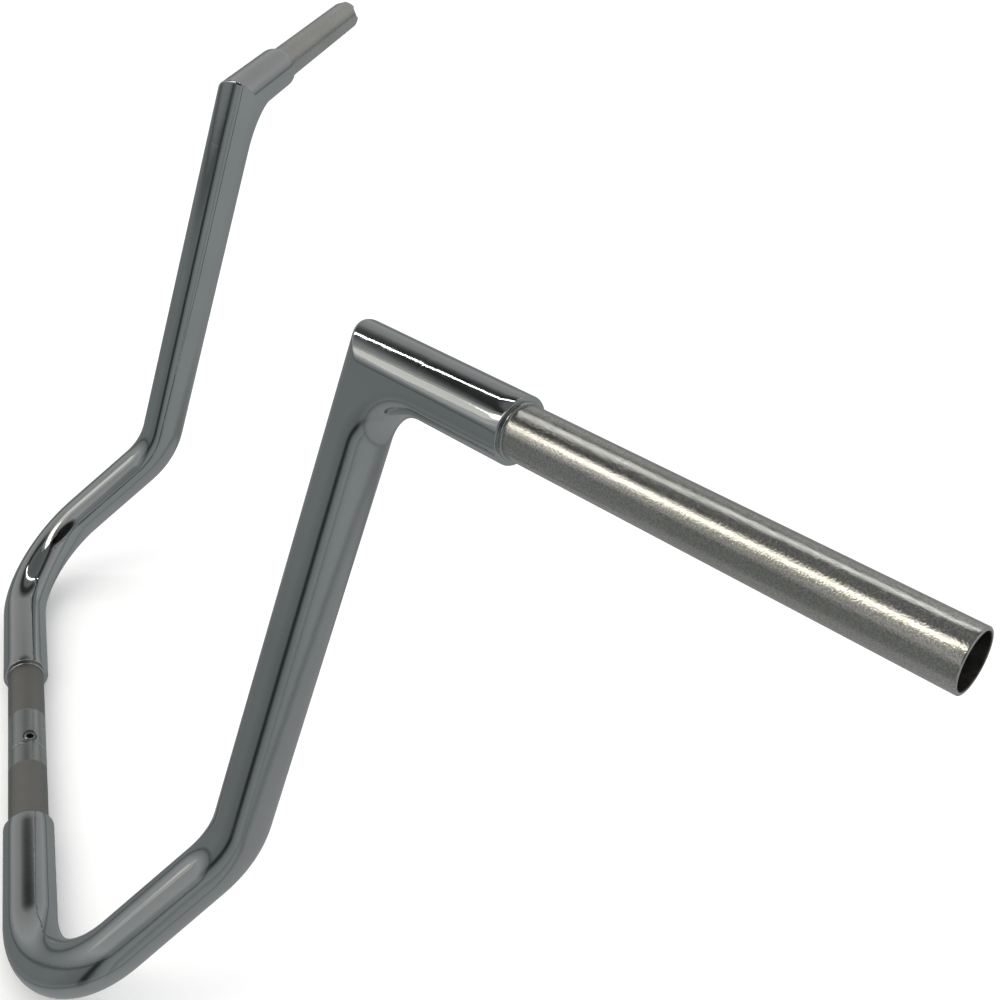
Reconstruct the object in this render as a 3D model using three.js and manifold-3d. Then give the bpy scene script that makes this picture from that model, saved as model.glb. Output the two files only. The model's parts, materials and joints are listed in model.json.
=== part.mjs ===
// A tall motorcycle handlebar in two halves. Each half is one bent 1-1/4 inch tube with a
// 1 inch tube sleeved and welded into both of its ends: a knurled one that sits in the
// motorcycle's clamps, and a smooth one that carries the grip. The upper bend wears two
// mitred half shells that make its outside a sharp point. The halves meet on a splice
// sleeve inside the clamp tubes, and a set screw locks them.
//
// Millimetres. X runs to the rider's right along the clamp, Y forwards and Z up, with the
// grips level. The origin is the middle of the clamp, on its axis.

import * as THREE from 'three';
import { mergeVertices } from 'three/addons/utils/BufferGeometryUtils.js';
import Module from 'manifold-3d';

const wasm = await Module();
wasm.setup();

// Tube stock.
const MAIN_RADIUS = 15.875; // 1-1/4 inch tube
const MAIN_WALL = 2.75;
const SLIM_RADIUS = 12.7; // 1 inch tube
const CLAMP_WALL = 3.05;
const GRIP_WALL = 1.65;
const INSERT_LENGTH = 30; // how far a slim tube reaches into the main tube
const GAP = 0.3; // between pieces that touch
const OVERSHOOT = 1; // how far a cutter runs past the face it cuts
const MERGE_TOLERANCE = 1e-4;

// The line that one half's tubes follow, from the clamp to the end of the grip.
const CLAMP_HALF = 77.5; // middle of the clamp to the end of the main tube
const BASE_HALF = 223; // middle of the clamp to the first corner
const PULL_LENGTH = 155; // first corner to second corner
const PULL_ANGLE = 39.7; // degrees above level, going rearwards
const PULL_INWARD = 2.4;
const RISER_LENGTH = 302; // second corner to third corner
const RISER_LEAN = 16; // degrees rearwards from upright
const RISER_OUTWARD = 1.2;
const SHOULDER_LENGTH = 87.5; // third corner to the end of the main tube
const GRIP_LENGTH = 202;
const GRIP_SWEEP = 28; // degrees rearwards from straight out
const BEND_RADII = [68, 68, 42]; // centre line radius at each corner
const POINT_REACH = 64; // straight stock that each shell of the point is cut from
const HALF_SPACE_SIZE = 190; // a block larger than any piece that it cuts

// The joint between the halves.
const JOINT_X = -8.8;
const JOINT_CHAMFER = 0.7;
const SLEEVE_RADIUS = 9.2;
const SLEEVE_BORE = 4;
const SLEEVE_REACH = 45; // on each side of the joint
const SCREW_X = -2;
const SCREW_RADIUS = 4;
const SCREW_TOP = 12.2; // distance of the screw's ends from the clamp's axis
const SCREW_TIP = 6.5;
const SCREW_SOCKET = 2.3; // hexagon's corner radius
const SOCKET_DEPTH = 3.4;
const SCREW_CHAMFER = 0.5;
const HOLE_CLEARANCE = 0.35;
const HOLE_RADIUS = SCREW_RADIUS + HOLE_CLEARANCE;
const COUNTERSINK_RADIUS = 5.5;
const KEYWAY_FLOOR = SCREW_TIP - GAP;

// The throttle side's grip tube has four round-ended slots in its end.
const SLOT_WIDTH = 9.5;
const SLOT_DEPTH = 6;
const SLOT_CROSSES = 2; // each cut crosses the whole tube and makes two slots
const SLOT_TILT = 22; // degrees that a slot sits above the tube's rear side
const SLOT_ARC_SIDES = 8;

// Weld beads at the ends of the main tube.
const BEAD_OUTER = 13.9;
const BEAD_WIDTH = 1.3;
const BEAD_CLEARANCE = 0.4; // between a bead and the slim tube that it goes round

// Fineness of the solids.
const ROUND_SIDES = 24;
const POINT_SIDES = 32;
const STEPS_PER_BEND = [8, 5, 8];
const BEAD_ARC_STEPS = 4;

const LATERAL = new THREE.Vector3(1, 0, 0);
const RISER_AXIS = direction(90 + RISER_LEAN);

const STEEL = { roughness: 0.12, metalness: 1 };
const chrome = () => new THREE.MeshStandardMaterial({ color: 0xb9bfc2, ...STEEL });
const satin = () => new THREE.MeshStandardMaterial({ color: 0x8a8782, roughness: 0.45, metalness: 1 });
const raw = () => new THREE.MeshStandardMaterial({ color: 0x6f7174, roughness: 0.5, metalness: 1 });

// A direction in the bar's fore-and-aft plane: 0 degrees points forwards, 90 up and 180
// rearwards.
function direction(degrees) {
  const angle = THREE.MathUtils.degToRad(degrees);
  return new THREE.Vector3(0, Math.cos(angle), Math.sin(angle));
}

// The corner points of one half: side is 1 for the rider's right and -1 for the left.
function cornerPoints(side) {
  const clampEnd = new THREE.Vector3(side * CLAMP_HALF, 0, 0);
  const first = new THREE.Vector3(side * BASE_HALF, 0, 0);
  const pull = direction(180 - PULL_ANGLE).multiplyScalar(PULL_LENGTH);
  const second = first.clone().add(pull);
  second.x -= side * PULL_INWARD;
  const third = second.clone().addScaledVector(RISER_AXIS, RISER_LENGTH);
  third.x += side * RISER_OUTWARD;
  const sweep = THREE.MathUtils.degToRad(GRIP_SWEEP);
  const outward = new THREE.Vector3(side * Math.cos(sweep), -Math.sin(sweep), 0);
  const shoulderEnd = third.clone().addScaledVector(outward, SHOULDER_LENGTH);
  const gripEnd = shoulderEnd.clone().addScaledVector(outward, GRIP_LENGTH);
  return { clampEnd, first, second, third, shoulderEnd, gripEnd, outward };
}

// Stations along a line with rounded corners: a point and its tangent at each end, and
// several through each bend.
function bentLine(points, radii, stepsPerBend) {
  const last = points.length - 1;
  const heading = (i) => points[i + 1].clone().sub(points[i]).normalize();
  const stations = [{ point: points[0].clone(), tangent: heading(0) }];
  for (let i = 1; i < last; i += 1) {
    const into = heading(i - 1);
    const out = heading(i);
    const turn = into.angleTo(out);
    const radius = radii[i - 1];
    const inward = out.clone().addScaledVector(into, -into.dot(out)).normalize();
    const start = points[i].clone().addScaledVector(into, -radius * Math.tan(turn / 2));
    const centre = start.clone().addScaledVector(inward, radius);
    const steps = stepsPerBend[i - 1];
    for (let k = 0; k <= steps; k += 1) {
      const angle = (turn * k) / steps;
      const tangent = into.clone().multiplyScalar(Math.cos(angle));
      tangent.addScaledVector(inward, Math.sin(angle));
      const point = centre.clone().addScaledVector(inward, -radius * Math.cos(angle));
      point.addScaledVector(into, radius * Math.sin(angle));
      stations.push({ point, tangent });
    }
  }
  stations.push({ point: points[last].clone(), tangent: heading(last - 1) });
  return stations;
}

function straightLine(from, to) {
  return bentLine([from, to], [], []);
}

// A curve that has its points only at the given stations.
class StationCurve extends THREE.Curve {
  constructor(stations) {
    super();
    this.stations = stations;
  }

  station(t) {
    return this.stations[Math.round(t * (this.stations.length - 1))];
  }

  getPointAt(t, target = new THREE.Vector3()) {
    return target.copy(this.station(t).point);
  }

  getTangentAt(t, target = new THREE.Vector3()) {
    return target.copy(this.station(t).tangent);
  }
}

// A tube, or a bar where bore is 0, along the stations.
function tube(stations, radius, bore, sides = ROUND_SIDES) {
  const section = new THREE.Shape().absarc(0, 0, radius, 0, 2 * Math.PI, false);
  if (bore > 0) {
    section.holes.push(new THREE.Path().absarc(0, 0, bore, 0, 2 * Math.PI, true));
  }
  return new THREE.ExtrudeGeometry(section, {
    curveSegments: sides / 2,
    steps: stations.length - 1,
    extrudePath: new StationCurve(stations),
  });
}

// A solid of revolution about the line through origin along axis. The profile lists
// [distance along the axis, radius]: it runs out, along and back in, and either closes on
// itself or starts and ends on the axis.
function turned(profile, origin, axis, sides = ROUND_SIDES) {
  const outline = profile.map(([along, radius]) => new THREE.Vector2(radius, along));
  const geometry = new THREE.LatheGeometry(outline, sides);
  const turn = new THREE.Quaternion().setFromUnitVectors(new THREE.Vector3(0, 1, 0), axis);
  geometry.applyQuaternion(turn);
  geometry.translate(origin.x, origin.y, origin.z);
  return geometry;
}

function toSolid(geometry) {
  const bare = geometry.clone();
  bare.deleteAttribute('normal');
  bare.deleteAttribute('uv');
  const merged = mergeVertices(bare, MERGE_TOLERANCE);
  return new wasm.Manifold(new wasm.Mesh({
    numProp: 3,
    vertProperties: new Float32Array(merged.attributes.position.array),
    triVerts: new Uint32Array(merged.index.array),
  }));
}

function toGeometry(solid) {
  const mesh = solid.getMesh();
  const geometry = new THREE.BufferGeometry();
  geometry.setAttribute('position', new THREE.BufferAttribute(mesh.vertProperties, 3));
  geometry.setIndex(new THREE.BufferAttribute(mesh.triVerts, 1));
  return geometry;
}

function largestPiece(solid) {
  const pieces = solid.decompose();
  return pieces.reduce((a, b) => (a.volume() > b.volume() ? a : b));
}

// A block whose one face passes through point, square to normal, and which lies on the
// side that normal points away from.
function behindPlane(point, normal) {
  const block = new THREE.BoxGeometry(HALF_SPACE_SIZE, HALF_SPACE_SIZE, HALF_SPACE_SIZE);
  block.translate(0, 0, -HALF_SPACE_SIZE / 2);
  const turn = new THREE.Quaternion().setFromUnitVectors(new THREE.Vector3(0, 0, 1), normal);
  block.applyQuaternion(turn);
  block.translate(point.x, point.y, point.z);
  return toSolid(block);
}

function mainTubeLine(corners) {
  const { clampEnd, first, second, third, shoulderEnd } = corners;
  return bentLine([clampEnd, first, second, third, shoulderEnd], BEND_RADII, STEPS_PER_BEND);
}

function mainTube(corners) {
  return tube(mainTubeLine(corners), MAIN_RADIUS, MAIN_RADIUS - MAIN_WALL);
}

// The bar's outside around the third bend only, grown by the gap.
function upperBendOutside(corners) {
  const { second, third, shoulderEnd } = corners;
  const bend = bentLine([second, third, shoulderEnd], [BEND_RADII[2]], [2 * STEPS_PER_BEND[2]]);
  return toSolid(tube(bend, MAIN_RADIUS + GAP, 0, POINT_SIDES));
}

// One half shell of the point: straight tube stock cut on the mitre and coped over the
// outside of the bend. away points from the corner along the stock.
function pointShell(corners, away, otherAway) {
  const { third } = corners;
  const stock = straightLine(
    third.clone().addScaledVector(away, POINT_REACH),
    third.clone().addScaledVector(away, -POINT_REACH),
  );
  const outside = toSolid(tube(stock, MAIN_RADIUS, 0, POINT_SIDES));
  const inside = toSolid(tube(stock, MAIN_RADIUS - MAIN_WALL, 0, POINT_SIDES));
  const mitreNormal = otherAway.clone().sub(away).normalize();
  const mitrePoint = third.clone().addScaledVector(mitreNormal, -GAP / 2);
  const half = outside.subtract(inside).intersect(behindPlane(mitrePoint, mitreNormal));
  return toGeometry(largestPiece(half.subtract(upperBendOutside(corners))));
}

function clampTube(side) {
  const bore = SLIM_RADIUS - CLAMP_WALL;
  const face = side > 0 ? JOINT_X + GAP / 2 : JOINT_X - GAP / 2;
  const far = CLAMP_HALF + INSERT_LENGTH;
  const length = far - side * face;
  const profile = [
    [0, bore],
    [0, SLIM_RADIUS - JOINT_CHAMFER],
    [JOINT_CHAMFER, SLIM_RADIUS],
    [length, SLIM_RADIUS],
    [length, bore],
    [0, bore],
  ];
  const along = LATERAL.clone().multiplyScalar(side);
  return turned(profile, new THREE.Vector3(face, 0, 0), along);
}

// The right half's clamp tube has the countersunk hole of the set screw.
function drilledClampTube() {
  const hole = [
    [0, 0],
    [0, HOLE_RADIUS],
    [SLIM_RADIUS - (COUNTERSINK_RADIUS - HOLE_RADIUS), HOLE_RADIUS],
    [SLIM_RADIUS + OVERSHOOT, COUNTERSINK_RADIUS + OVERSHOOT],
    [SLIM_RADIUS + OVERSHOOT, 0],
  ];
  const cutter = toSolid(turned(hole, new THREE.Vector3(SCREW_X, 0, 0), RISER_AXIS));
  return toGeometry(toSolid(clampTube(1)).subtract(cutter));
}

function gripTube(corners) {
  const start = corners.shoulderEnd.clone().addScaledVector(corners.outward, -INSERT_LENGTH);
  return tube(straightLine(start, corners.gripEnd), SLIM_RADIUS, SLIM_RADIUS - GRIP_WALL);
}

function slottedGripTube(corners) {
  const radius = SLOT_WIDTH / 2;
  const outline = new THREE.Shape();
  outline.absarc(radius - SLOT_DEPTH, 0, radius, Math.PI / 2, 1.5 * Math.PI, false);
  outline.lineTo(OVERSHOOT, -radius);
  outline.lineTo(OVERSHOOT, radius);
  const depth = 3 * SLIM_RADIUS;
  const turn = new THREE.Quaternion().setFromUnitVectors(LATERAL, corners.outward);
  let solid = toSolid(gripTube(corners));
  for (let i = 0; i < SLOT_CROSSES; i += 1) {
    const options = { depth, bevelEnabled: false, curveSegments: SLOT_ARC_SIDES / 2 };
    const cutter = new THREE.ExtrudeGeometry(outline, options);
    cutter.translate(0, 0, -depth / 2);
    cutter.rotateX(THREE.MathUtils.degToRad(90 - SLOT_TILT) + (i * Math.PI) / SLOT_CROSSES);
    cutter.applyQuaternion(turn);
    cutter.translate(corners.gripEnd.x, corners.gripEnd.y, corners.gripEnd.z);
    solid = solid.subtract(toSolid(cutter));
  }
  return toGeometry(solid);
}

// A fillet of weld round a slim tube, against the end face of the main tube.
function weldBead(end, outward) {
  const inner = SLIM_RADIUS + BEAD_CLEARANCE;
  const height = BEAD_OUTER - inner;
  const profile = [[GAP, inner]];
  for (let k = 0; k <= BEAD_ARC_STEPS; k += 1) {
    const angle = ((Math.PI / 2) * k) / BEAD_ARC_STEPS;
    const along = GAP + BEAD_WIDTH * Math.sin(angle);
    profile.push([along, Math.max(inner, inner + height * Math.cos(angle))]);
  }
  profile.push(profile[0]);
  return turned(profile, end, outward);
}

// The sleeve is fixed in the left half. Its keyway is open at the right end, so that the
// right half can be pulled off with the screw still in it.
function spliceSleeve() {
  const start = new THREE.Vector3(JOINT_X - SLEEVE_REACH, 0, 0);
  const end = new THREE.Vector3(JOINT_X + SLEEVE_REACH, 0, 0);
  const body = toSolid(tube(straightLine(start, end), SLEEVE_RADIUS, SLEEVE_BORE));
  const width = 2 * HOLE_RADIUS;
  const left = SCREW_X - HOLE_RADIUS;
  const length = end.x + OVERSHOOT - left;
  const keyway = new THREE.BoxGeometry(length, width, SLEEVE_RADIUS);
  keyway.translate(left + length / 2, 0, KEYWAY_FLOOR + SLEEVE_RADIUS / 2);
  keyway.rotateX(THREE.MathUtils.degToRad(RISER_LEAN));
  return toGeometry(body.subtract(toSolid(keyway)));
}

function lockScrew() {
  const body = [
    [SCREW_TIP, 0],
    [SCREW_TIP, SCREW_RADIUS - SCREW_CHAMFER],
    [SCREW_TIP + SCREW_CHAMFER, SCREW_RADIUS],
    [SCREW_TOP - SCREW_CHAMFER, SCREW_RADIUS],
    [SCREW_TOP, SCREW_RADIUS - SCREW_CHAMFER],
    [SCREW_TOP, 0],
  ];
  const socket = [
    [SCREW_TOP - SOCKET_DEPTH, 0],
    [SCREW_TOP - SOCKET_DEPTH, SCREW_SOCKET],
    [SCREW_TOP + OVERSHOOT, SCREW_SOCKET],
    [SCREW_TOP + OVERSHOOT, 0],
  ];
  const origin = new THREE.Vector3(SCREW_X, 0, 0);
  const blank = toSolid(turned(body, origin, RISER_AXIS));
  return toGeometry(blank.subtract(toSolid(turned(socket, origin, RISER_AXIS, 6))));
}

function add(group, name, geometry, material) {
  const mesh = new THREE.Mesh(geometry, material);
  mesh.name = name;
  group.add(mesh);
}

function buildHalf(side) {
  const half = new THREE.Group();
  const hand = side > 0 ? 'right' : 'left';
  const corners = cornerPoints(side);
  const downRiser = corners.second.clone().sub(corners.third).normalize();
  const inwards = LATERAL.clone().multiplyScalar(-side);
  const clamp = side > 0 ? drilledClampTube() : clampTube(side);
  const grip = side > 0 ? slottedGripTube(corners) : gripTube(corners);
  add(half, `${hand}_clamp_tube`, clamp, satin());
  add(half, `${hand}_clamp_weld`, weldBead(corners.clampEnd, inwards), chrome());
  add(half, `${hand}_main_tube`, mainTube(corners), chrome());
  add(half, `${hand}_point_lower`, pointShell(corners, downRiser, corners.outward), chrome());
  add(half, `${hand}_point_upper`, pointShell(corners, corners.outward, downRiser), chrome());
  add(half, `${hand}_grip_tube`, grip, chrome());
  add(half, `${hand}_grip_weld`, weldBead(corners.shoulderEnd, corners.outward), chrome());
  return half;
}

const handlebar = new THREE.Group();
handlebar.add(buildHalf(-1), buildHalf(1));
add(handlebar, 'splice_sleeve', spliceSleeve(), raw());
add(handlebar, 'lock_screw', lockScrew(), raw());

export default handlebar;
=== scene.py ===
"""A tall chromed motorcycle handlebar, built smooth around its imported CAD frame.

Every visible piece stands for one CAD node: swept tubes with rounded ends, coped point
shells at the upper corners, rippled weld beads, a knurled clamp section, the splice sleeve
and its set screw. Metres, +X to the rider's right, +Y forwards, +Z up.
"""

import json
import math

import bmesh
import bpy
import numpy as np
from mathutils import Matrix, Vector


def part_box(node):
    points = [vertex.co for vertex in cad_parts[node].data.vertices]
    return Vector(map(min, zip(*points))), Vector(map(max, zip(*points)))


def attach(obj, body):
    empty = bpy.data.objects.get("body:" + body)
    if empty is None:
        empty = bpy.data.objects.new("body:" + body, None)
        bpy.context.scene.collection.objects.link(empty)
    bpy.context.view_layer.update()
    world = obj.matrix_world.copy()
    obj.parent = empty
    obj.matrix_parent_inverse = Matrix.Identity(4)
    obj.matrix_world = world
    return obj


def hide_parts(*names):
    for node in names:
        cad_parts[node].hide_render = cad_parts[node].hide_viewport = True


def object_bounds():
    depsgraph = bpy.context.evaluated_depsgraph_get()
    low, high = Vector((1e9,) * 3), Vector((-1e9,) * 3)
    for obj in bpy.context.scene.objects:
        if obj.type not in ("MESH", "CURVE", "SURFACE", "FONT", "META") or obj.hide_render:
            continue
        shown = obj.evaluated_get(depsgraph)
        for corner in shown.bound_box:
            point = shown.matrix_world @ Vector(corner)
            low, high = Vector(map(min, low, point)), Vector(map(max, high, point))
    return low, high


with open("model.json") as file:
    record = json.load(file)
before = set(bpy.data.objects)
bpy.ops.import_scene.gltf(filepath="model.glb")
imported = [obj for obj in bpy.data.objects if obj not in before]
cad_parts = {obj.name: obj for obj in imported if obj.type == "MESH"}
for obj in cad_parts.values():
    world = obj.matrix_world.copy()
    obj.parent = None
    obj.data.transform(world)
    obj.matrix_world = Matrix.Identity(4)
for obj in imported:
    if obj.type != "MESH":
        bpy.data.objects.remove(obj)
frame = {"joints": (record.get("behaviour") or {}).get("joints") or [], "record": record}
cad_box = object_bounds()

MM = 0.001

# Tube stock.
MAIN_RADIUS = 15.875 * MM
MAIN_BORE = 13.125 * MM
SLIM_RADIUS = 12.7 * MM
CLAMP_BORE = 9.65 * MM
GRIP_BORE = 11.05 * MM
INSERT_LENGTH = 30 * MM
SHOULDER_ROUND = 0.7 * MM
RIM_ROUND = 0.6 * MM
BORE_CHAMFER = 0.3 * MM

# The line that one half's tubes follow. The end of the fat tube at the clamp and the grip's
# direction come from the frame, and these give the corners after them.
BASE_HALF = 223 * MM
PULL_LENGTH = 155 * MM
PULL_ANGLE = math.radians(39.7)
PULL_INWARD = 2.4 * MM
RISER_LENGTH = 302 * MM
RISER_LEAN = math.radians(16)
RISER_OUTWARD = 1.2 * MM
SHOULDER_LENGTH = 87.5 * MM
GRIP_LENGTH = 202 * MM
BEND_RADII = (68 * MM, 68 * MM, 42 * MM)
CREASE_ROUND = 1.3 * MM

# The welded point: how far its inner sheet is sunk into the tube, the angle at which it starts,
# the angles before its crease at which the evenly spaced sections end and the closer ones
# start, and how many sections and points it has.
POINT_SINK = 0.06 * MM
POINT_START = 0.02
POINT_EVEN_END = 0.09
POINT_CLOSE_START = 0.08
POINT_EVEN_SECTIONS = 26
POINT_CLOSE_SECTIONS = 18
POINT_ARC_POINTS = 61
POINT_FLAT_POINTS = 6

# The clamp section. KNURL_SIDES counts the mesh's sides to a ridge and KNURL_ROWS its rows to a
# diamond, and a higher KNURL_CREST makes the diamonds' tops flatter.
KNURL_START = 26 * MM
KNURL_DEPTH = 0.16 * MM
KNURL_COUNT = 56
KNURL_ANGLE = math.radians(30)
KNURL_CREST = 1.7
KNURL_SIDES = 5
KNURL_ROWS = 10
KNURL_FADE_ROWS = 4
KNURL_OVERLAP = 1 * MM
KNURL_MARGIN = 0.3 * MM
SMOOTH_RINGS = 28
JOINT_CHAMFER = 0.7 * MM
SLEEVE_RADIUS = 9.2 * MM
SLEEVE_BORE = 4 * MM
SLEEVE_ROUND = 0.6 * MM
KEYWAY_FLOOR = 6.2 * MM
HOLE_RADIUS = 4.35 * MM
COUNTERSINK_RADIUS = 5.5 * MM
SCREW_RADIUS = 4 * MM
SCREW_CHAMFER = 0.35 * MM
SCREW_POINT = 1.1 * MM
SCREW_LIFT = 0.3 * MM
SOCKET_RADIUS = 2.75 * MM
SOCKET_DEPTH = 3.4 * MM
SOCKET_SIDES = 6
SOCKET_TURN = math.radians(11)
DRILL_DEPTH = 0.6 * MM
DRILL_RADIUS = 0.4 * MM

# The slots in the right grip tube's end.
SLOT_WIDTH = 9.5 * MM
SLOT_DEPTH = 6 * MM
SLOT_TILT = math.radians(22)

# The weld beads. Their ripples wander to and fro by BEAD_WANDER radians, BEAD_WANDERS times
# round.
BEAD_OUTER = 13.5 * MM
BEAD_WIDTH = 1.3 * MM
BEAD_RIPPLES = 46
BEAD_RIPPLE = 0.1 * MM
BEAD_SIDES = 8
BEAD_STEPS = 8
BEAD_SINK = 0.02 * MM
BEAD_WANDER = 0.35
BEAD_WANDERS = 5

# Mesh fineness. OVERSHOOT is how far a cutter reaches past what it cuts, and the three smallest
# lengths are tolerances.
ROUND_SIDES = 96
SMALL_SIDES = 64
RIM_STEPS = 5
SLOT_STEPS = 24
STRAIGHT_STEP = 8 * MM
TURN_STEP = 0.03
OVERSHOOT = 1 * MM
MERGE_DISTANCE = 1e-7
STATION_GAP = 1e-6
LINE_END = 1e-9
SHARP_ANGLE = math.radians(38)

# No tube runs along this direction, so it fixes which way each tube's first side faces.
SIDE_HINT = (0.31, 0.52, 0.8)
X_AXIS = np.array((1.0, 0.0, 0.0))
Z_AXIS = np.array((0.0, 0.0, 1.0))
UP_RISER = np.array((0.0, -math.sin(RISER_LEAN), math.cos(RISER_LEAN)))


def unit(vector):
    return vector / np.linalg.norm(vector)


def turned_about(vector, axis, angle):
    """vector turned about a unit axis."""
    along = axis * (axis @ vector)
    across = vector - along
    return along + across * math.cos(angle) + np.cross(axis, across) * math.sin(angle)


# ---------------------------------------------------------------- lines and rings


class Line:
    """Straights joined by arcs, which carries a pair of cross directions along it."""

    def __init__(self, corners, radii=()):
        self.parts = []
        self.length = 0.0
        heading = unit(corners[1] - corners[0])
        side = unit(np.cross(heading, SIDE_HINT))
        point = corners[0]
        for corner, after, radius in zip(corners[1:-1], corners[2:], radii):
            out = unit(after - corner)
            turn = math.acos(float(np.clip(heading @ out, -1, 1)))
            inward = unit(out - heading * (heading @ out))
            start = corner - heading * radius * math.tan(turn / 2)
            self._add(np.linalg.norm(start - point), point, heading, side, None, 0.0)
            self._add(radius * turn, start, heading, side, inward, radius)
            side = turned_about(side, np.cross(heading, inward), turn)
            point = corner + out * radius * math.tan(turn / 2)
            heading = out
        self._add(np.linalg.norm(corners[-1] - point), point, heading, side, None, 0.0)

    def _add(self, length, point, heading, side, inward, radius):
        self.parts.append((self.length, length, point, heading, side, inward, radius))
        self.length += length

    def at(self, s):
        """(point, heading, side, up) at a distance along the line."""
        for start, length, point, heading, side, inward, radius in self.parts:
            if s <= start + length or start + length >= self.length - LINE_END:
                break
        run = s - start
        if inward is None:
            return point + heading * run, heading, side, np.cross(heading, side)
        angle = run / radius
        axis = np.cross(heading, inward)
        place = point + inward * radius * (1 - math.cos(angle)) + heading * radius * math.sin(angle)
        heading = turned_about(heading, axis, angle)
        side = turned_about(side, axis, angle)
        return place, heading, side, np.cross(heading, side)

    def steps(self, straight_step, turn_step):
        """Distances that show the line's shape: even steps, closer together in the arcs."""
        found = [0.0]
        for start, length, _, _, _, inward, radius in self.parts:
            step = straight_step if inward is None else radius * turn_step
            count = max(1, math.ceil(length / step))
            found += [start + length * (k + 1) / count for k in range(count)]
        return found


def ring(line, s, radius, sides=ROUND_SIDES):
    """A circle round the line. radius may be one number or one for each side."""
    point, _, side, up = line.at(s)
    angles = np.arange(sides) * 2 * math.pi / sides
    spokes = np.outer(np.cos(angles), side) + np.outer(np.sin(angles), up)
    return point + spokes * np.broadcast_to(radius, sides)[:, None]


def rounded_rim(s, radius, size, outwards):
    """(s, radius) stations round a rim's edge: outwards is 1 at a tube's far end and -1 at
    its start."""
    stations = []
    for k in range(RIM_STEPS + 1):
        angle = math.pi / 2 * k / RIM_STEPS
        place = s - outwards * size * (1 - math.sin(angle))
        stations.append((place, radius - size * (1 - math.cos(angle))))
    return stations


def tube_rings(line, outer, bore, rim_round):
    """Rings down the outside of a tube and back up its bore, with rounded outer rims, and the
    number of rings that the outside has."""
    middle = [
        s
        for s in line.steps(STRAIGHT_STEP, TURN_STEP)
        if rim_round + STATION_GAP < s < line.length - rim_round - STATION_GAP
    ]
    outside = rounded_rim(0.0, outer, rim_round, -1)[::-1]
    outside += [(s, outer) for s in middle]
    outside += rounded_rim(line.length, outer, rim_round, 1)
    back = [line.length - BORE_CHAMFER] + middle[::-1] + [BORE_CHAMFER]
    inside = [(line.length, bore + BORE_CHAMFER)]
    inside += [(s, bore) for s in back]
    inside += [(0.0, bore + BORE_CHAMFER)]
    return [ring(line, s, radius) for s, radius in outside + inside], len(outside)


# ---------------------------------------------------------------- meshes


def mark_hard_edges(shape):
    """Shading stays smooth over an edge only where the faces meet at less than SHARP_ANGLE."""
    for edge in shape.edges:
        edge.smooth = not edge.is_manifold or edge.calc_face_angle(0.0) < SHARP_ANGLE


def finish_mesh(name, mesh, materials=()):
    """Turns mesh into a smooth shaded object whose hard edges stay crisp."""
    shape = bmesh.new()
    shape.from_mesh(mesh)
    bmesh.ops.remove_doubles(shape, verts=shape.verts, dist=MERGE_DISTANCE)
    bmesh.ops.recalc_face_normals(shape, faces=shape.faces)
    for face in shape.faces:
        face.smooth = True
    mark_hard_edges(shape)
    shape.to_mesh(mesh)
    shape.free()
    for material in materials:
        mesh.materials.append(material)
    piece = bpy.data.objects.new(name, mesh)
    bpy.context.scene.collection.objects.link(piece)
    return piece


def band_faces(first, second, sides):
    """The faces between two neighbouring rings, which are given by number."""
    found = []
    for k in range(sides):
        n = (k + 1) % sides
        found.append((first * sides + k, first * sides + n, second * sides + n, second * sides + k))
    return found


def mesh_of_rings(name, rings, materials, bore_from=None, relief=None):
    """A skin over rings of equal size, closed from the last ring to the first. Rings from
    bore_from on take the second material. relief is an optional value for each vertex."""
    count, sides = len(rings), len(rings[0])
    faces = []
    for i in range(count):
        faces += band_faces(i, (i + 1) % count, sides)
    mesh = bpy.data.meshes.new(name)
    mesh.from_pydata(np.concatenate(rings).tolist(), [], faces)
    if bore_from is not None:
        index = np.zeros(len(faces), np.int32)
        index[bore_from * sides : (count - 1) * sides] = 1
        mesh.polygons.foreach_set("material_index", index)
    if relief is not None:
        layer = mesh.attributes.new("relief", "FLOAT", "POINT")
        layer.data.foreach_set("value", np.asarray(relief, np.float32))
    return finish_mesh(name, mesh, materials)


def closed_bar(name, profile, origin, axis, sides, material, phase=0.0):
    """A solid of revolution with flat ends: profile lists (distance along axis, radius)."""
    line = Line([origin, origin + axis])
    rings = [ring(line, s, radius, sides) for s, radius in profile]
    points = np.concatenate(rings)
    if phase:
        points = np.array([origin + turned_about(p - origin, unit(axis), phase) for p in points])
    faces = [tuple(range(sides)), tuple((len(rings) - 1) * sides + k for k in range(sides))]
    for i in range(len(rings) - 1):
        faces += band_faces(i, i + 1, sides)
    mesh = bpy.data.meshes.new(name)
    mesh.from_pydata(points.tolist(), [], faces)
    return finish_mesh(name, mesh, [material])


def cut(piece, cutter):
    """Takes cutter away from piece and removes cutter. The new faces take its material, if it
    has one."""
    modifier = piece.modifiers.new("cut", "BOOLEAN")
    modifier.operation = "DIFFERENCE"
    modifier.solver = "EXACT"
    modifier.material_mode = "TRANSFER"
    modifier.object = cutter
    graph = bpy.context.evaluated_depsgraph_get()
    mesh = bpy.data.meshes.new_from_object(piece.evaluated_get(graph))
    old = piece.data
    piece.modifiers.clear()
    piece.data = mesh
    bpy.data.meshes.remove(old)
    bpy.data.objects.remove(cutter)
    shape = bmesh.new()
    shape.from_mesh(mesh)
    bmesh.ops.remove_doubles(shape, verts=shape.verts, dist=MERGE_DISTANCE)
    mark_hard_edges(shape)
    shape.to_mesh(mesh)
    shape.free()


# ---------------------------------------------------------------- materials


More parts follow.
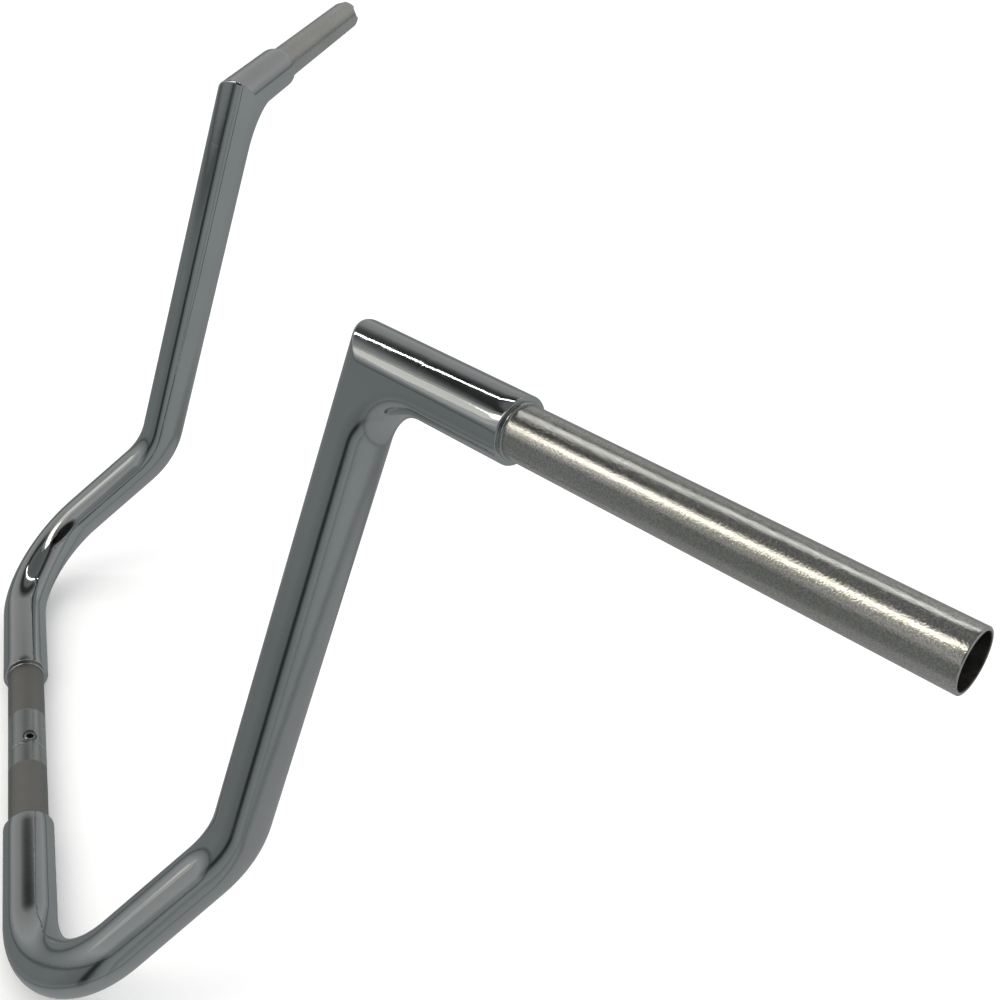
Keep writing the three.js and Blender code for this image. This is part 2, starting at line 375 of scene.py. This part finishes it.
def ramp_node(tree, source, stops):
    """The colours that a ramp gives for source: stops lists (position, colour)."""
    node = tree.nodes.new("ShaderNodeValToRGB")
    elements = node.color_ramp.elements
    while len(elements) < len(stops):
        elements.new(0.5)
    for element, (position, colour) in zip(elements, stops):
        element.position = position
        element.color = (*colour, 1)
    tree.links.new(source, node.inputs["Fac"])
    return node.outputs["Color"]


def range_node(tree, source, start, end, low, high):
    """source carried over from start to end onto low to high."""
    node = tree.nodes.new("ShaderNodeMapRange")
    for key, value in (("From Min", start), ("From Max", end), ("To Min", low), ("To Max", high)):
        node.inputs[key].default_value = value
    tree.links.new(source, node.inputs["Value"])
    return node.outputs["Result"]


def mix_node(tree, factor, first, second, blend="MIX"):
    """first and second mixed by factor. Each of them is an output or a plain colour."""
    node = tree.nodes.new("ShaderNodeMix")
    node.data_type = "RGBA"
    node.blend_type = blend
    tree.links.new(factor, node.inputs["Factor"])
    for source, socket in ((first, node.inputs[6]), (second, node.inputs[7])):
        if hasattr(source, "links"):
            tree.links.new(source, socket)
        else:
            socket.default_value = (*source, 1)
    return node.outputs[2]


class Nodes:
    """A small helper that writes a material's node tree."""

    def __init__(self, name):
        self.material = bpy.data.materials.new(name)
        self.material.use_nodes = True
        self.tree = self.material.node_tree
        self.shader = self.tree.nodes["Principled BSDF"]
        self.place = self.add("ShaderNodeTexCoord").outputs["Object"]

    def add(self, kind, **values):
        node = self.tree.nodes.new(kind)
        for key, value in values.items():
            setattr(node, key, value)
        return node

    def link(self, source, target):
        self.tree.links.new(source, target)

    def noise(self, scale, detail=3.0, roughness=0.5, stretch=(1, 1, 1)):
        place = self.place
        if stretch != (1, 1, 1):
            mapping = self.add("ShaderNodeMapping")
            mapping.inputs["Scale"].default_value = stretch
            self.link(place, mapping.inputs["Vector"])
            place = mapping.outputs["Vector"]
        node = self.add("ShaderNodeTexNoise")
        node.inputs["Scale"].default_value = scale
        node.inputs["Detail"].default_value = detail
        node.inputs["Roughness"].default_value = roughness
        self.link(place, node.inputs["Vector"])
        return node.outputs["Fac"]

    def ramp(self, source, low, high):
        """One colour up to the first position and another from the second on."""
        return ramp_node(self.tree, source, [low, high])

    def range(self, source, low, high, start=0.0, end=1.0):
        return range_node(self.tree, source, start, end, low, high)

    def mix(self, factor, first, second):
        return mix_node(self.tree, factor, first, second)

    def bump(self, height, distance, before=None):
        node = self.add("ShaderNodeBump")
        node.inputs["Strength"].default_value = 1.0
        node.inputs["Distance"].default_value = distance
        self.link(height, node.inputs["Height"])
        if before is not None:
            self.link(before, node.inputs["Normal"])
        return node.outputs["Normal"]

    def metal(self, colour, roughness, normal):
        self.shader.inputs["Metallic"].default_value = 1.0
        self.link(colour, self.shader.inputs["Base Color"])
        self.link(roughness, self.shader.inputs["Roughness"])
        self.link(normal, self.shader.inputs["Normal"])
        return self.material


def polished_chrome(name="polished_chrome"):
    """Mirror chrome with faint smudges, over steel that is polished slightly wavy."""
    n = Nodes(name)
    colour = n.ramp(n.noise(11, 2), (0.3, (0.54, 0.565, 0.57)), (0.7, (0.61, 0.63, 0.63)))
    roughness = n.range(n.noise(95, 4, 0.6), 0.03, 0.09, 0.35, 0.75)
    ripple = n.bump(n.noise(42, 1), 0.00008)
    grain = n.bump(n.noise(330, 2), 0.000016, ripple)
    return n.metal(colour, roughness, grain)


def grip_chrome():
    """Warmer chrome with a fine speckle in its colour, gloss and surface."""
    n = Nodes("grip_chrome")
    broad = n.noise(14, 2)
    speck = n.noise(1300, 2, 0.6)
    dark = n.ramp(broad, (0.3, (0.47, 0.463, 0.43)), (0.7, (0.55, 0.543, 0.51)))
    light = n.ramp(broad, (0.3, (0.6, 0.592, 0.555)), (0.7, (0.72, 0.712, 0.675)))
    colour = n.mix(n.range(speck, 0, 1, 0.4, 0.6), dark, light)
    roughness = n.range(speck, 0.08, 0.22, 0.3, 0.75)
    ripple = n.bump(n.noise(60, 1), 0.00005)
    grain = n.bump(speck, 0.00009, ripple)
    return n.metal(colour, roughness, grain)


def knurled_chrome():
    """Dull chrome, darker and rougher in the valleys of the knurl."""
    n = Nodes("knurled_chrome")
    relief = n.add("ShaderNodeAttribute", attribute_name="relief").outputs["Fac"]
    valley = n.mix(n.noise(180, 4, 0.6), (0.16, 0.15, 0.135), (0.24, 0.23, 0.21))
    crest = n.mix(n.noise(60, 3), (0.4, 0.4, 0.38), (0.5, 0.5, 0.48))
    colour = n.mix(relief, valley, crest)
    roughness = n.range(relief, 0.5, 0.26)
    grain = n.bump(n.noise(900, 2), 0.00001)
    return n.metal(colour, roughness, grain)


def satin_chrome():
    """Chrome over a turned surface, with fine lines round the tube."""
    n = Nodes("satin_chrome")
    lines = n.noise(35, 4, 0.6, stretch=(60, 1, 1))
    colour = n.ramp(n.noise(30, 3), (0.3, (0.46, 0.48, 0.47)), (0.7, (0.54, 0.56, 0.55)))
    roughness = n.range(lines, 0.14, 0.28, 0.3, 0.7)
    return n.metal(colour, roughness, n.bump(lines, 0.000004))


def bore_steel_and_painted_shade():
    """The dull, patchy steel inside a tube, made dark: partly the steel's own dull colour, partly
    painted shade inside the tubes, the screw's hole and its socket.
    """
    n = Nodes("bore_steel_and_painted_shade")
    patches = n.noise(160, 5, 0.65)
    colour = n.ramp(patches, (0.35, (0.09, 0.087, 0.08)), (0.7, (0.24, 0.225, 0.2)))
    roughness = n.range(n.noise(300, 3), 0.34, 0.6)
    return n.metal(colour, roughness, n.bump(n.noise(700, 3), 0.00003))


def turned_steel():
    """Bare machined steel with the lines of the lathe."""
    n = Nodes("turned_steel")
    lines = n.noise(50, 3, 0.6, stretch=(70, 1, 1))
    colour = n.ramp(n.noise(40, 3), (0.3, (0.36, 0.37, 0.38)), (0.7, (0.46, 0.47, 0.48)))
    roughness = n.range(lines, 0.22, 0.4, 0.3, 0.7)
    return n.metal(colour, roughness, n.bump(lines, 0.00001))


MATERIALS = {
    "polished": polished_chrome(),
    "weld": polished_chrome("weld_chrome"),
    "grip": grip_chrome(),
    "knurl": knurled_chrome(),
    "satin": satin_chrome(),
    "bore": bore_steel_and_painted_shade(),
    "turned": turned_steel(),
}


# ---------------------------------------------------------------- the halves


class Half:
    """The corners and directions of one half. side is 1 for the right and -1 for the left."""

    def __init__(self, side):
        self.side = side
        self.hand = "right" if side > 0 else "left"
        self.body = f"{self.hand}_half"
        low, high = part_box(f"{self.hand}_main_tube")
        clamp_end = min(abs(low.x), abs(high.x))
        mount = next(m for m in frame["record"]["mounts"] if m["name"] == f"{self.hand}_grip_end")
        self.outward = unit(np.array(mount["axis"]))
        self.clamp_end = X_AXIS * side * clamp_end
        self.first = X_AXIS * side * BASE_HALF
        pull = np.array((0.0, -math.cos(PULL_ANGLE), math.sin(PULL_ANGLE))) * PULL_LENGTH
        self.second = self.first + pull - X_AXIS * side * PULL_INWARD
        self.third = self.second + UP_RISER * RISER_LENGTH + X_AXIS * side * RISER_OUTWARD
        self.shoulder_end = self.third + self.outward * SHOULDER_LENGTH
        self.grip_end = self.shoulder_end + self.outward * GRIP_LENGTH
        self.up_riser = unit(self.third - self.second)

    def add(self, piece, node, slot):
        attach(piece, self.body)
        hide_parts(f"{self.hand}_{node}")


def bent_tube(half):
    corners = [half.clamp_end, half.first, half.second, half.third, half.shoulder_end]
    rings, bore_from = tube_rings(Line(corners, BEND_RADII), MAIN_RADIUS, MAIN_BORE, SHOULDER_ROUND)
    materials = [MATERIALS["polished"], MATERIALS["bore"]]
    piece = mesh_of_rings(f"{half.hand}_bent_tube", rings, materials, bore_from)
    half.add(piece, "main_tube", "polished_chrome")


def rounded_corner_distance(reach, angle, half_turn):
    """Distance from the bend's centre to a straight edge at reach from it, at an angle from
    its foot, where the edge is rounded into its mirror image at half_turn."""
    off = half_turn - angle
    middle = (reach - CREASE_ROUND) / math.cos(half_turn)
    touch = math.atan2(
        CREASE_ROUND * math.sin(half_turn), middle + CREASE_ROUND * math.cos(half_turn)
    )
    if off >= touch:
        return reach / math.cos(angle)
    return middle * math.cos(off) + math.sqrt(CREASE_ROUND**2 - (middle * math.sin(off)) ** 2)


def point_shell(half, name, node, heading_in, heading_out):
    """One half of the point over the outside of the upper bend, from where it leaves the
    tube along heading_in to the mitre."""
    radius = BEND_RADII[2]
    turn = math.acos(float(heading_in @ heading_out))
    inward = unit(heading_out - heading_in * (heading_in @ heading_out))
    start = half.third - heading_in * radius * math.tan(turn / 2)
    centre = start + inward * radius
    across = np.cross(heading_in, inward)
    half_turn = turn / 2
    even = np.linspace(POINT_START, half_turn - POINT_EVEN_END, POINT_EVEN_SECTIONS)
    close = np.linspace(half_turn - POINT_CLOSE_START, half_turn, POINT_CLOSE_SECTIONS)
    arc = np.linspace(math.pi / 2, -math.pi / 2, POINT_ARC_POINTS)
    flat_steps = np.linspace(0, 1, POINT_FLAT_POINTS + 1)[:-1]
    sunk = MAIN_RADIUS - POINT_SINK
    outsides, insides = [], []
    for angle in np.concatenate((even, close)):
        away = -inward * math.cos(angle) + heading_in * math.sin(angle)
        outside, inside = [], []
        top = rounded_corner_distance(radius, angle, half_turn)
        for share in flat_steps:
            outside.append((radius + (top - radius) * share, MAIN_RADIUS))
            inside.append((radius, sunk))
        for turned in arc:
            reach = radius + MAIN_RADIUS * math.cos(turned)
            distance = rounded_corner_distance(reach, angle, half_turn)
            outside.append((distance, MAIN_RADIUS * math.sin(turned)))
            inside.append((radius + sunk * math.cos(turned), sunk * math.sin(turned)))
        for share in flat_steps[::-1]:
            outside.append((radius + (top - radius) * share, -MAIN_RADIUS))
            inside.append((radius, -sunk))
        outsides.append([centre + away * u + across * v for u, v in outside])
        insides.append([centre + away * u + across * v for u, v in inside])
    mesh = lune_mesh(name, np.array(outsides), np.array(insides))
    piece = finish_mesh(name, mesh, [MATERIALS["polished"]])
    half.add(piece, node, "polished_chrome")


def lune_mesh(name, outsides, insides):
    """A closed skin between two sheets of points of the same size."""
    rows, columns = outsides.shape[:2]
    points = np.concatenate((outsides.reshape(-1, 3), insides.reshape(-1, 3)))
    under = rows * columns

    def at(i, k, sheet):
        return sheet * under + i * columns + k

    faces = []
    for i in range(rows - 1):
        for k in range(columns - 1):
            for sheet in (0, 1):
                places = ((i, k), (i, k + 1), (i + 1, k + 1), (i + 1, k))
                faces.append(tuple(at(row, column, sheet) for row, column in places))
        for k in (0, columns - 1):
            faces.append((at(i, k, 0), at(i + 1, k, 0), at(i + 1, k, 1), at(i, k, 1)))
    for k in range(columns - 1):
        for i in (0, rows - 1):
            faces.append((at(i, k, 0), at(i, k + 1, 0), at(i, k + 1, 1), at(i, k, 1)))
    mesh = bpy.data.meshes.new(name)
    mesh.from_pydata(points.tolist(), [], faces)
    return mesh


def grip_bar(half):
    start = half.shoulder_end - half.outward * INSERT_LENGTH
    line = Line([start, half.grip_end])
    rings, bore_from = tube_rings(line, SLIM_RADIUS, GRIP_BORE, RIM_ROUND)
    materials = [MATERIALS["grip"], MATERIALS["bore"]]
    piece = mesh_of_rings(f"{half.hand}_grip_bar", rings, materials, bore_from)
    if half.side > 0:
        for quarter in (0, 1):
            cut(piece, slot_cutter(half, SLOT_TILT + quarter * math.pi / 2))
    half.add(piece, "grip_tube", "grip_chrome")


def slot_cutter(half, tilt):
    """A round-ended bar across the grip's end, which leaves a slot in each wall."""
    rearward = np.cross(half.outward, Z_AXIS)
    across = rearward * math.cos(tilt) + Z_AXIS * math.sin(tilt)
    wide = np.cross(half.outward, across)
    radius = SLOT_WIDTH / 2
    centre = radius - SLOT_DEPTH
    outline = []
    for angle in np.linspace(math.pi / 2, 1.5 * math.pi, SLOT_STEPS + 1):
        outline.append((centre + radius * math.cos(angle), radius * math.sin(angle)))
    outline += [(OVERSHOOT, -radius), (OVERSHOOT, radius)]
    reach = SLIM_RADIUS + OVERSHOOT
    points = []
    for end in (-reach, reach):
        points += [half.grip_end + half.outward * a + wide * b + across * end for a, b in outline]
    sides = len(outline)
    faces = [tuple(range(sides)), tuple(range(sides, 2 * sides))]
    faces += [(k, (k + 1) % sides, sides + (k + 1) % sides, sides + k) for k in range(sides)]
    mesh = bpy.data.meshes.new("slot_cutter")
    mesh.from_pydata([list(p) for p in points], [], faces)
    return finish_mesh("slot_cutter", mesh)


def knurl(angle, run):
    """Height from 0 to 1 of a diamond knurl at an angle round and a distance along the tube."""
    lead = run * math.tan(KNURL_ANGLE) / SLIM_RADIUS
    first = np.abs(((angle + lead) * KNURL_COUNT / (2 * math.pi)) % 1.0 - 0.5) * 2
    second = np.abs(((angle - lead) * KNURL_COUNT / (2 * math.pi)) % 1.0 - 0.5) * 2
    return np.clip(np.minimum(first, second) * KNURL_CREST, 0, 1)


def clamp_bar(half):
    """The clamp tube: chamfered at the joint, smooth in the middle, knurled to the shoulder."""
    low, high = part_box(f"{half.hand}_clamp_tube")
    face, far = (low.x, high.x) if half.side > 0 else (high.x, low.x)
    length = abs(far - face)
    knurl_from = abs(half.side * KNURL_START - face)
    knurl_to = abs(half.clamp_end[0] - face) + KNURL_OVERLAP
    line = Line([X_AXIS * face, X_AXIS * far])
    sides = KNURL_COUNT * KNURL_SIDES
    angles = np.arange(sides) * 2 * math.pi / sides
    plain = np.zeros(sides)
    edge = rounded_rim(0.0, SLIM_RADIUS, JOINT_CHAMFER, -1)[::-1]
    stations = [(s, radius, plain + 1) for s, radius in edge]
    for run in np.linspace(JOINT_CHAMFER, knurl_from - KNURL_MARGIN, SMOOTH_RINGS + 1)[1:]:
        stations.append((run, SLIM_RADIUS, plain + 1))
    pitch = 2 * math.pi * SLIM_RADIUS / KNURL_COUNT / math.tan(KNURL_ANGLE)
    rows = math.ceil((knurl_to - knurl_from) / (pitch / KNURL_ROWS))
    for row in range(rows + 1):
        run = knurl_from + (knurl_to - knurl_from) * row / rows
        height = knurl(angles, run)
        fade = min(1.0, row / KNURL_FADE_ROWS)
        depth = KNURL_DEPTH * (1 - height) * fade
        stations.append((run, SLIM_RADIUS - depth, height * fade + (1 - fade)))
    bore_from = len(stations)
    stations.append((length, SLIM_RADIUS, plain + 1))
    stations.append((length, CLAMP_BORE, plain))
    stations.append((0.0, CLAMP_BORE, plain))
    rings = [ring(line, s, radius, sides) for s, radius, _ in stations]
    relief = np.concatenate([value for _, _, value in stations])
    keys = ("satin", "bore", "knurl", "polished")
    materials = [MATERIALS[key] for key in keys]
    piece = mesh_of_rings(f"{half.hand}_clamp_bar", rings, materials, bore_from, relief)
    index = np.zeros(len(piece.data.polygons), np.int32)
    piece.data.polygons.foreach_get("material_index", index)
    centres = np.zeros(len(index) * 3)
    piece.data.polygons.foreach_get("center", centres)
    run = np.abs(centres.reshape(-1, 3)[:, 0] - face)
    skin = index == keys.index("satin")
    index[skin & (run > knurl_from) & (run < knurl_to)] = keys.index("knurl")
    index[skin & (run < JOINT_CHAMFER)] = keys.index("polished")
    piece.data.polygons.foreach_set("material_index", index)
    if half.side > 0:
        cut(piece, screw_hole())
    half.add(piece, "clamp_tube", "knurled_chrome")


def screw_place():
    """The set screw's origin on the clamp's axis, its outward direction and its top's height."""
    joint = next(j for j in frame["joints"] if j["name"] == "lock_screw_turn")
    axis = unit(np.array(joint["axis"]))
    top = float(np.array(joint["pos_m"]) @ axis)
    return X_AXIS * joint["pos_m"][0], axis, top


def screw_hole():
    """A cutter for the screw's hole and its countersink. Its walls take the dark bore steel, which
    is painted shade in the gap round the screw.
    """
    origin, axis, _ = screw_place()
    slope = SLIM_RADIUS - (COUNTERSINK_RADIUS - HOLE_RADIUS)
    profile = [
        (CLAMP_BORE / 2, HOLE_RADIUS),
        (slope, HOLE_RADIUS),
        (SLIM_RADIUS + OVERSHOOT, COUNTERSINK_RADIUS + OVERSHOOT),
    ]
    return closed_bar("screw_hole", profile, origin, axis, SMALL_SIDES, MATERIALS["bore"])


def weld_bead(half, name, node, end, outward):
    """A dressed fillet weld that still shows the ripple of its run."""
    line = Line([end, end + outward])
    sides = BEAD_RIPPLES * BEAD_SIDES
    angles = np.arange(sides) * 2 * math.pi / sides
    wander = BEAD_WANDER * np.sin(angles * BEAD_WANDERS)
    wave = np.abs(np.sin(angles * BEAD_RIPPLES / 2 + wander))
    inner = SLIM_RADIUS - BEAD_SINK
    rings = [ring(line, 0.0, inner, sides)]
    for k in range(BEAD_STEPS):
        turn = math.pi / 2 * k / BEAD_STEPS
        height = (BEAD_OUTER - SLIM_RADIUS) * math.cos(turn)
        ripple = BEAD_RIPPLE * (wave - 0.5) * math.sin(2 * turn)
        rings.append(ring(line, BEAD_WIDTH * math.sin(turn), inner + height + ripple, sides))
    rings.append(ring(line, BEAD_WIDTH, inner, sides))
    piece = mesh_of_rings(f"{half.hand}_{name}", rings, [MATERIALS["weld"]])
    half.add(piece, node, "weld")


def keyway_cutter(end_x):
    """A block along the sleeve's upper side, from behind the screw to past the sleeve's end."""
    origin, axis, _ = screw_place()
    across = np.cross(axis, X_AXIS) * HOLE_RADIUS
    floor = axis * KEYWAY_FLOOR
    ceiling = axis * (SLEEVE_RADIUS + OVERSHOOT)
    corners = []
    for x in (origin[0] - HOLE_RADIUS, end_x + OVERSHOOT):
        for corner in (floor - across, floor + across, ceiling + across, ceiling - across):
            corners.append(list(X_AXIS * x + corner))
    faces = [(0, 1, 2, 3), (4, 5, 6, 7), (0, 1, 5, 4), (1, 2, 6, 5), (2, 3, 7, 6), (3, 0, 4, 7)]
    mesh = bpy.data.meshes.new("keyway_cutter")
    mesh.from_pydata(corners, [], faces)
    return finish_mesh("keyway_cutter", mesh)


def inner_sleeve():
    low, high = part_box("splice_sleeve")
    line = Line([X_AXIS * low.x, X_AXIS * high.x])
    rings, _ = tube_rings(line, SLEEVE_RADIUS, SLEEVE_BORE, SLEEVE_ROUND)
    piece = mesh_of_rings("inner_sleeve", rings, [MATERIALS["turned"]])
    cut(piece, keyway_cutter(high.x))
    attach(piece, "left_half")
    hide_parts("splice_sleeve")


def set_screw():
    """The set screw: chamfered ends and a hexagon socket with a drilled bottom."""
    origin, axis, top = screw_place()
    tip = KEYWAY_FLOOR + SCREW_LIFT
    profile = [
        (tip, SCREW_RADIUS - SCREW_POINT),
        (tip + SCREW_POINT, SCREW_RADIUS),
        (top - SCREW_CHAMFER, SCREW_RADIUS),
        (top, SCREW_RADIUS - SCREW_CHAMFER),
    ]
    piece = closed_bar("set_screw", profile, origin, axis, SMALL_SIDES, MATERIALS["turned"])
    socket = [
        (top - SOCKET_DEPTH - DRILL_DEPTH, DRILL_RADIUS),
        (top - SOCKET_DEPTH, SOCKET_RADIUS),
        (top + OVERSHOOT, SOCKET_RADIUS),
    ]
    # The socket's faces take the dark bore steel, which paints shade into the socket.
    dark = MATERIALS["bore"]
    cut(piece, closed_bar("socket_cutter", socket, origin, axis, SOCKET_SIDES, dark, SOCKET_TURN))
    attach(piece, "lock_screw")
    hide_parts("lock_screw")


def build_half(side):
    half = Half(side)
    bent_tube(half)
    point_shell(half, f"{half.hand}_point_riser_shell", "point_lower", half.up_riser, half.outward)
    point_shell(half, f"{half.hand}_point_grip_shell", "point_upper", -half.outward, -half.up_riser)
    grip_bar(half)
    clamp_bar(half)
    weld_bead(half, "clamp_bead", "clamp_weld", half.clamp_end, -X_AXIS * side)
    weld_bead(half, "grip_bead", "grip_weld", half.shoulder_end, half.outward)


# ---------------------------------------------------------------- the studio

CAMERA_PLACE = Vector((-0.7395, -0.0775, 0.6591))
CAMERA_RIGHT = Vector((-0.3014, -0.9529, 0.0344))
CAMERA_FORWARD = Vector((0.8257, -0.2789, -0.4903))
CAMERA_LENS = 46.7
CAMERA_SENSOR = 36
CAMERA_SHIFT = (0.0185, -0.0808)

# The floor is a square that reaches this far each way.
FLOOR_REACH = 4.0
FLOOR_WHITE = 0.96
FLOOR_ROUGHNESS = 0.9


def add_camera():
    data = bpy.data.cameras.new("camera")
    data.lens = CAMERA_LENS
    data.sensor_width = CAMERA_SENSOR
    data.shift_x, data.shift_y = CAMERA_SHIFT
    camera = bpy.data.objects.new("camera", data)
    bpy.context.scene.collection.objects.link(camera)
    back = -CAMERA_FORWARD.normalized()
    right = (CAMERA_RIGHT - back * CAMERA_RIGHT.dot(back)).normalized()
    up = back.cross(right)
    turn = Matrix((right, up, back)).transposed().to_4x4()
    camera.matrix_world = Matrix.Translation(CAMERA_PLACE) @ turn
    bpy.context.scene.camera = camera


def add_floor():
    height = cad_box[0].z
    signs = ((-1, -1), (1, -1), (1, 1), (-1, 1))
    corners = [(x * FLOOR_REACH, y * FLOOR_REACH, height) for x, y in signs]
    mesh = bpy.data.meshes.new("floor")
    mesh.from_pydata(corners, [], [(0, 1, 2, 3)])
    floor = bpy.data.objects.new("floor", mesh)
    bpy.context.scene.collection.objects.link(floor)
    n = Nodes("pale_floor")
    n.shader.inputs["Base Color"].default_value = (FLOOR_WHITE, FLOOR_WHITE, FLOOR_WHITE, 1)
    n.shader.inputs["Roughness"].default_value = FLOOR_ROUGHNESS
    mesh.materials.append(n.material)
    floor.visible_glossy = False


# How much green and blue a tint adds for the red that it takes away.
TINT_GREEN = 0.1
TINT_BLUE = 0.15


def grey(value, tint=0.0):
    """A grey that leans to blue-green as tint grows."""
    return (value * (1 - tint), value * (1 + TINT_GREEN * tint), value * (1 + TINT_BLUE * tint))


# What the chrome mirrors, from straight down (0) through level (0.5) to straight up (1).
DOME_HEIGHT = [
    (0.0, grey(0.34, 0.03)),
    (0.13, grey(0.31, 0.02)),
    (0.16, grey(0.22, 0.04)),
    (0.19, grey(0.31, 0.04)),
    (0.36, grey(0.34, 0.06)),
    (0.46, grey(0.34, 0.06)),
    (0.495, grey(0.16, 0.05)),
    (0.52, grey(0.3, 0.02)),
    (0.62, grey(0.4, 0.0)),
    (0.8, grey(0.3, 0.0)),
    (0.85, grey(0.1, 0.0)),
    (0.875, grey(0.03, 0.0)),
    (0.905, grey(0.04, 0.0)),
    (0.93, grey(0.17, 0.03)),
    (1.0, grey(0.13, 0.03)),
]

# How that is scaled round the horizon, from -X (0) through -Y, +X and +Y back to -X (1).
DOME_BEARING = [
    (0.0, grey(1.0)),
    (0.16, grey(1.06)),
    (0.3, grey(1.0)),
    (0.45, grey(0.8)),
    (0.6, grey(0.62)),
    (0.74, grey(0.64)),
    (0.83, grey(0.5)),
    (0.848, grey(0.1)),
    (0.862, grey(0.12)),
    (0.885, grey(0.66)),
    (0.925, grey(0.9)),
    (0.942, grey(0.68)),
    (0.96, grey(0.9)),
    (1.0, grey(1.0)),
]

# How far the second list counts at each height.
DOME_BEARING_SHARE = [(0.1, grey(0.1)), (0.25, grey(1.0)), (0.46, grey(1.0)), (0.62, grey(0.0))]

# The dark side of the studio, behind the camera's place above. It belongs to the room, so it
# stays there when another view is taken. These are the cosines of the angles from its middle
# at which it begins and is full, and how dark it is at both.
VIEWER_SHADE = (0.87, 0.94, 0.0, 0.96)

# How brightly the studio lights matt surfaces and shows past the floor.
FLOOR_GLOW = 1.1


def dome_colour(tree, direction):
    """The banded grey of the dome in a direction."""
    split = tree.nodes.new("ShaderNodeSeparateXYZ")
    tree.links.new(direction, split.inputs["Vector"])
    height = range_node(tree, split.outputs["Z"], -1, 1, 0, 1)
    bearing = tree.nodes.new("ShaderNodeMath")
    bearing.operation = "ARCTAN2"
    tree.links.new(split.outputs["Y"], bearing.inputs[0])
    tree.links.new(split.outputs["X"], bearing.inputs[1])
    around = range_node(tree, bearing.outputs["Value"], -math.pi, math.pi, 0, 1)
    upwards = ramp_node(tree, height, DOME_HEIGHT)
    sideways = ramp_node(tree, around, DOME_BEARING)
    share = ramp_node(tree, height, DOME_BEARING_SHARE)
    return mix_node(tree, share, upwards, sideways, "MULTIPLY")


def viewer_shade(tree, direction):
    """How dark the dome is in a direction, from the dark side of the studio."""
    facing = tree.nodes.new("ShaderNodeVectorMath")
    facing.operation = "DOT_PRODUCT"
    facing.inputs[1].default_value = -CAMERA_FORWARD
    tree.links.new(direction, facing.inputs[0])
    return range_node(tree, facing.outputs["Value"], *VIEWER_SHADE)


def add_world():
    """White to the eye and to matt surfaces, and a banded grey dome to mirrors."""
    world = bpy.data.worlds.new("studio")
    bpy.context.scene.world = world
    world.use_nodes = True
    tree = world.node_tree
    direction = tree.nodes.new("ShaderNodeTexCoord").outputs["Generated"]
    glossy = tree.nodes.new("ShaderNodeLightPath").outputs["Is Glossy Ray"]
    shade = viewer_shade(tree, direction)
    dome = mix_node(tree, shade, dome_colour(tree, direction), (0, 0, 0))
    seen = mix_node(tree, glossy, (FLOOR_GLOW, FLOOR_GLOW, FLOOR_GLOW), dome)
    tree.links.new(seen, tree.nodes["Background"].inputs["Color"])
    bpy.context.scene.view_settings.view_transform = "Standard"


# The point that the studio's lights face.
STUDIO_MIDDLE = Vector((0, -0.15, 0.25))
WARM = (1.0, 0.95, 0.84)
NEUTRAL = (1.0, 1.0, 1.0)

# The long soft lights: name, the two ends of the middle line, width, watts and colour.
STRIPS = [
    ("front_core", (0.19, 1.8, 1.62), (-0.8, 0.53, 2.36), 0.36, 5.2, WARM),
    ("front_strip", (0.7, 2.45, 1.2), (-0.75, 0.6, 2.25), 0.6, 1.9, WARM),
    ("front_wash", (0.7, 2.45, 0.95), (-0.75, 0.6, 2.0), 1.1, 1.3, WARM),
    ("rear_strip", (1.4, 1.3, 2.4), (0.45, -1.55, 1.75), 0.07, 4.5, NEUTRAL),
]


def add_strip(name, start, end, width, power, colour):
    """A long soft light whose middle line runs from start to end, facing the bar."""
    start, end = Vector(start), Vector(end)
    data = bpy.data.lights.new(name, "AREA")
    data.shape = "RECTANGLE"
    data.size = (end - start).length
    data.size_y = width
    data.energy = power
    data.color = colour
    middle = (start + end) / 2
    along = (end - start).normalized()
    back = middle - STUDIO_MIDDLE
    back = (back - along * back.dot(along)).normalized()
    turn = Matrix((along, back.cross(along), back)).transposed().to_4x4()
    light = bpy.data.objects.new(name, data)
    bpy.context.scene.collection.objects.link(light)
    light.matrix_world = Matrix.Translation(middle) @ turn


add_camera()
build_half(-1)
build_half(1)
inner_sleeve()
set_screw()
add_floor()
add_world()
for strip in STRIPS:
    add_strip(*strip)
